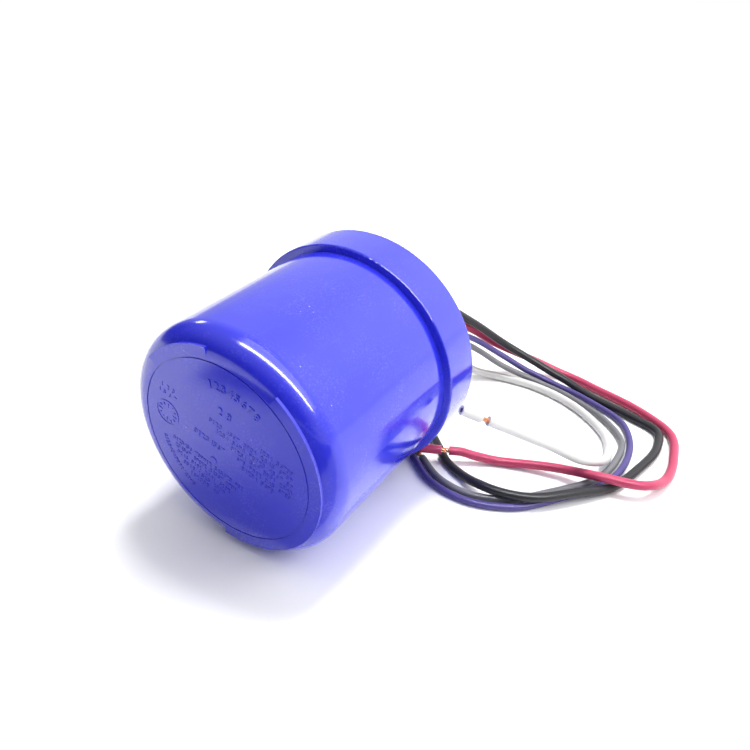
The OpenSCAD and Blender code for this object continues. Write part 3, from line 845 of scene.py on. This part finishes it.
class CONTROL_OT_potting(bpy.types.Operator):
    """Pours the potting's face, which climbs a little up the bore and round each lead"""

    bl_idname = "control.potting"
    bl_label = "Potting"

    def execute(self, context):
        bm = bmesh.new()
        bmesh.ops.create_circle(bm, cap_ends=True, segments=64, radius=STEM_BORE_R)
        disc = bm.faces[:]
        for _ in range(POTTING_RINGS):
            bmesh.ops.inset_region(bm, faces=disc, thickness=RING_W, use_even_offset=True)
            disc = [f for f in disc if f.is_valid]
        bmesh.ops.triangulate(bm, faces=disc)
        bmesh.ops.subdivide_edges(
            bm, edges=list({e for f in bm.faces for e in f.edges if e.calc_length() > LONG_EDGE}),
            cuts=4, use_grid_fill=True,
        )
        for v in bm.verts:
            rise = math.exp(-(STEM_BORE_R - v.co.xy.length) / CLIMB_REACH)
            for lead in LEADS:
                gap = (v.co.xy - Vector(OUTS[lead]) * MM).length - lead_diameter(lead) / 2
                rise += math.exp(-max(0, gap) / CLIMB_REACH)
            v.co.z = -POTTING_CLIMB * min(1, rise)
        bmesh.ops.recalc_face_normals(bm, faces=bm.faces)
        bmesh.ops.translate(bm, verts=bm.verts, vec=(0, 0, PLUG_FACE_Z - SKIN_GAP))
        bmesh.ops.transform(bm, matrix=LAID, verts=bm.verts)
        bm.normal_update()
        face = keep_piece("potting_face", bm, finish_of("potting_resin"))
        smooth_by_angle(face.data, degrees=60)
        return {"FINISHED"}


class CONTROL_OT_face_numbers(bpy.types.Operator):
    """Raises rows of plain numbers, a small dial and a dot on the face's panel"""

    bl_idname = "control.face_numbers"
    bl_label = "Face numbers"

    def execute(self, context):
        looks = context.scene.number_looks
        bm = bmesh.new()
        for text, left, right, height, size in ROWS:
            pitch = (right - left) / (len(text) - 1)
            for n, digit in enumerate(text):
                place = Matrix.Translation(((left + n * pitch) * MM, height * MM, 0))
                self.add_digit(bm, digit, getattr(looks, size), place)
        for text, start, end, radius, size in ARCS:
            for n, digit in enumerate(text):
                angle = start + (end - start) * n / (len(text) - 1)
                upright = -90 if start > end else 90
                place = (
                    Matrix.Rotation(math.radians(angle), 4, "Z")
                    @ Matrix.Translation((radius * MM, 0, 0))
                    @ Matrix.Rotation(math.radians(upright), 4, "Z")
                )
                self.add_digit(bm, digit, getattr(looks, size), place)
        self.add_dial(bm, looks.relief * 2 / 3)
        dot = bmesh.ops.create_cone(
            bm, cap_ends=True, segments=24, radius1=DOT_FOOT_R, radius2=DOT_TOP_R,
            depth=2 * looks.relief,
        )
        bmesh.ops.translate(bm, verts=dot["verts"], vec=DOT_AT)
        face = LAID @ Matrix.Translation((0, 0, CUP_H)) @ Matrix.Rotation(TEXT_TURN, 4, "Z")
        bmesh.ops.transform(bm, matrix=face, verts=bm.verts)
        relief = keep_piece("face_numbers", bm, finish_of("moulded_blue"))
        smooth_by_angle(relief.data, degrees=30)
        for shape in [m for m in bpy.data.meshes if m.name.startswith("digit_")]:
            bpy.data.meshes.remove(shape)
        return {"FINISHED"}

    def add_digit(self, bm, digit, size, place):
        """Adds one digit, centred, standing proud of the face and let into it."""
        if digit == " ":
            return
        looks = bpy.context.scene.number_looks
        share = size / looks.large
        name = f"digit_{digit}_{size:.4f}"
        if name not in bpy.data.meshes:
            letters = bpy.data.curves.new(name, "FONT")
            letters.body = digit
            letters.size = size
            letters.align_x = "CENTER"
            letters.align_y = "CENTER"
            letters.offset = looks.boldness * share / 2
            letters.bevel_depth = looks.boldness * share
            letters.bevel_resolution = 0
            letters.extrude = (looks.relief - looks.boldness) * share
            letters.resolution_u = 2
            holder = bpy.data.objects.new(name, letters)
            bpy.context.scene.collection.objects.link(holder)
            bpy.context.view_layer.update()
            shape = holder.evaluated_get(bpy.context.evaluated_depsgraph_get())
            bpy.data.meshes.new_from_object(shape).name = name
            bpy.data.objects.remove(holder)
            bpy.data.curves.remove(letters)
        glyph = bpy.data.meshes[name].copy()
        glyph.transform(place)
        bm.from_mesh(glyph)
        bpy.data.meshes.remove(glyph)

    def add_dial(self, bm, relief):
        """Adds a small ring with marks inside it."""
        before = set(bm.verts)
        outer = bmesh.ops.create_circle(bm, segments=48, radius=DIAL_R)
        inner = bmesh.ops.create_circle(bm, segments=48, radius=DIAL_R - DIAL_BAND)
        edges = list({e for v in outer["verts"] + inner["verts"] for e in v.link_edges})
        band = bmesh.ops.bridge_loops(bm, edges=edges)["faces"]
        bmesh.ops.recalc_face_normals(bm, faces=band)
        walls = bmesh.ops.extrude_face_region(bm, geom=band)["geom"]
        raised = [g for g in walls if isinstance(g, bmesh.types.BMVert)]
        bmesh.ops.translate(bm, verts=raised, vec=(0, 0, relief))
        for n in range(DIAL_MARKS):
            long = LONG_MARK if n % 3 == 0 else SHORT_MARK
            mark = bmesh.ops.create_cube(bm, size=1)
            shape = Matrix.Diagonal((MARK_W, long, 2 * relief, 1))
            turn = Matrix.Rotation(math.tau * n / DIAL_MARKS, 4, "Z")
            place = turn @ Matrix.Translation((0, DIAL_R - MARK_INSET - long / 2, 0))
            bmesh.ops.transform(bm, matrix=place @ shape, verts=mark["verts"])
        made = [v for v in bm.verts if v not in before]
        bmesh.ops.translate(bm, verts=made, vec=DIAL_AT)


class CONTROL_OT_finish_nodes(bpy.types.Operator):
    """Gives every CAD node its finish"""

    bl_idname = "control.finish_nodes"
    bl_label = "Finishes"

    def execute(self, context):
        worn = dict(NODE_FINISHES)
        for lead in LEADS:
            worn[f"{lead}_lead"] = worn[f"{lead}_slug"] = f"{lead}_vinyl"
            worn[f"{lead}_strands"] = "copper_strands"
        for node, finish in worn.items():
            materials = NODES[node].data.materials
            materials.clear()
            materials.append(finish_of(finish))
        return {"FINISHED"}


class CONTROL_OT_stage(bpy.types.Operator):
    """Lays the pale floor and hangs the soft lights"""

    bl_idname = "control.stage"
    bl_label = "Stage"

    def execute(self, context):
        looks = context.scene.stage_looks
        context.scene.view_settings.view_transform = "Standard"
        self.floor()
        # A card that only reflections show, painted with a grey shade and a dark reflection
        self.dark_card()
        for name, (setting, place, aim, size, rays) in LAMPS.items():
            self.light(name, place, aim, size, getattr(looks, setting), rays)
        self.room(looks.fill, [(way, getattr(looks, setting)) for way, setting in GLOWS])
        return {"FINISHED"}

    def floor(self):
        """Lays the pale floor, lifted to white far from the control, where the lamps are faint."""
        tree, shader = blank_finish("pale_floor")
        cloudy = mixed_colour(
            tree, noise_at(tree, scale=8.0, detail=2.0), (0.93, 0.93, 0.935), (0.95, 0.95, 0.955)
        )
        tree.links.new(cloudy, shader.inputs["Base Color"])
        shader.inputs["Roughness"].default_value = 0.6
        place = add(tree, "ShaderNodeTexCoord")
        away = add(tree, "ShaderNodeVectorMath", operation="LENGTH")
        tree.links.new(place.outputs["Object"], away.inputs[0])
        lift = ramp(
            tree, away.outputs["Value"], *LIFT_RANGE, high=FLOOR_LIFT, curve="SMOOTHSTEP"
        )
        tree.links.new(lift, shader.inputs["Emission Strength"])
        shader.inputs["Emission Color"].default_value = (1, 1, 1, 1)
        floor = self.flat_sheet("floor", "pale_floor", (0, 0, 0), FLOOR_SIZE)

    def dark_card(self):
        """Lays a card in front that only reflections show, with a painted grey shade beside the
        face, pale to its left, and a painted dark reflection farther out.
        """
        tree, shader = blank_finish("dark_card")
        place = add(tree, "ShaderNodeTexCoord")
        across = add(tree, "ShaderNodeSeparateXYZ")
        tree.links.new(place.outputs["Object"], across.inputs["Vector"])
        x, y = across.outputs["X"], across.outputs["Y"]
        # Painted shade: grey beside the face, fading to pale on the left
        pale = ramp(tree, x, *FADE_X, *PAINTED_SHADE_GREYS, curve="SMOOTHSTEP")
        # Painted dark reflection on the card's far part
        dark = combined(tree, "MULTIPLY", ramp(tree, y, *DARK_Y), ramp(tree, x, *DARK_X))
        shade = add(tree, "ShaderNodeMix", {"B": PAINTED_DARK_REFLECTION}, data_type="FLOAT")
        tree.links.new(dark, shade.inputs["Factor"])
        tree.links.new(pale, shade.inputs["A"])
        tree.links.new(shade.outputs["Result"], shader.inputs["Base Color"])
        shader.inputs["Roughness"].default_value = 1.0
        shader.inputs["Specular IOR Level"].default_value = 0.0
        card = self.flat_sheet("dark_card", "dark_card", CARD_AT, CARD_SIZE)
        card.visible_camera = card.visible_diffuse = False
        card.visible_shadow = card.visible_transmission = False

    def flat_sheet(self, name, finish, middle, size):
        """A flat sheet for the stage, with its width and depth round its middle."""
        bm = bmesh.new()
        bmesh.ops.create_grid(bm, x_segments=2, y_segments=2, size=0.5)
        place = Matrix.Translation(middle) @ Matrix.Diagonal((*size, 1, 1))
        bmesh.ops.transform(bm, matrix=place, verts=bm.verts)
        mesh = bpy.data.meshes.new(name)
        bm.to_mesh(mesh)
        bm.free()
        mesh.materials.append(bpy.data.materials[finish])
        laid = bpy.data.objects.new(name, mesh)
        bpy.context.scene.collection.objects.link(laid)
        return laid

    def light(self, name, place, aim, size, power, rays):
        """A soft rectangular light that faces a point, and that only diffuse or glossy rays see."""
        data = bpy.data.lights.new(name, "AREA")
        data.shape = "RECTANGLE"
        data.size, data.size_y = size
        data.energy = power
        lamp = bpy.data.objects.new(name, data)
        bpy.context.scene.collection.objects.link(lamp)
        lamp.location = place
        lamp.rotation_euler = (Vector(aim) - Vector(place)).to_track_quat("-Z", "Y").to_euler()
        lamp.visible_camera = False
        lamp.visible_diffuse = rays == "diffuse"
        lamp.visible_glossy = rays == "glossy"

    def room(self, fill, glows):
        """A white room with soft glows round a few directions, and evenly pale where it is seen."""
        world = bpy.data.worlds.new("room")
        world.use_nodes = True
        tree = world.node_tree
        sky = tree.nodes["Background"]
        sky.inputs["Color"].default_value = (1, 1, 1, 1)
        way = add(tree, "ShaderNodeTexCoord")
        total = add(tree, "ShaderNodeValue").outputs[0]
        total.default_value = fill
        for direction, strength in glows:
            towards = {1: Vector(direction).normalized()}
            facing = add(tree, "ShaderNodeVectorMath", towards, operation="DOT_PRODUCT")
            tree.links.new(way.outputs["Generated"], facing.inputs[0])
            glow = ramp(
                tree, facing.outputs["Value"], *GLOW_RANGE, high=strength, curve="SMOOTHSTEP"
            )
            total = combined(tree, "ADD", total, glow)
        seen = add(tree, "ShaderNodeLightPath")
        pale = add(tree, "ShaderNodeMix", {"B": 1.0}, data_type="FLOAT")
        tree.links.new(seen.outputs["Is Camera Ray"], pale.inputs["Factor"])
        tree.links.new(total, pale.inputs["A"])
        tree.links.new(pale.outputs["Result"], sky.inputs["Strength"])
        bpy.context.scene.world = world


OPERATORS = (
    CONTROL_OT_camera,
    CONTROL_OT_strands,
    CONTROL_OT_leads,
    CONTROL_OT_stem_thread,
    CONTROL_OT_potting,
    CONTROL_OT_face_numbers,
    CONTROL_OT_finish_nodes,
    CONTROL_OT_stage,
)


class CONTROL_PT_panel(bpy.types.Panel):
    """Lists the pieces and their settings"""

    bl_idname = "CONTROL_PT_panel"
    bl_label = "Lighting Control"
    bl_space_type = "VIEW_3D"
    bl_region_type = "UI"
    bl_category = "Lighting Control"

    def draw(self, context):
        for name, group in SETTINGS.items():
            looks = getattr(context.scene, name)
            for key in group.__annotations__:
                self.layout.prop(looks, key)
        for operator in OPERATORS:
            self.layout.operator(operator.bl_idname)


def register():
    for name, group in SETTINGS.items():
        bpy.utils.register_class(group)
        setattr(bpy.types.Scene, name, bpy.props.PointerProperty(type=group))
    for operator in OPERATORS:
        bpy.utils.register_class(operator)
    bpy.utils.register_class(CONTROL_PT_panel)


def unregister():
    bpy.utils.unregister_class(CONTROL_PT_panel)
    for operator in reversed(OPERATORS):
        bpy.utils.unregister_class(operator)
    for name, group in SETTINGS.items():
        delattr(bpy.types.Scene, name)
        bpy.utils.unregister_class(group)


def main():
    """Makes every piece in order."""
    register()
    bpy.ops.control.camera()
    bpy.ops.control.strands()
    bpy.ops.control.leads()
    bpy.ops.control.stem_thread()
    bpy.ops.control.potting()
    bpy.ops.control.face_numbers()
    bpy.ops.control.finish_nodes()
    bpy.ops.control.stage()


if __name__ == "__main__":
    main()
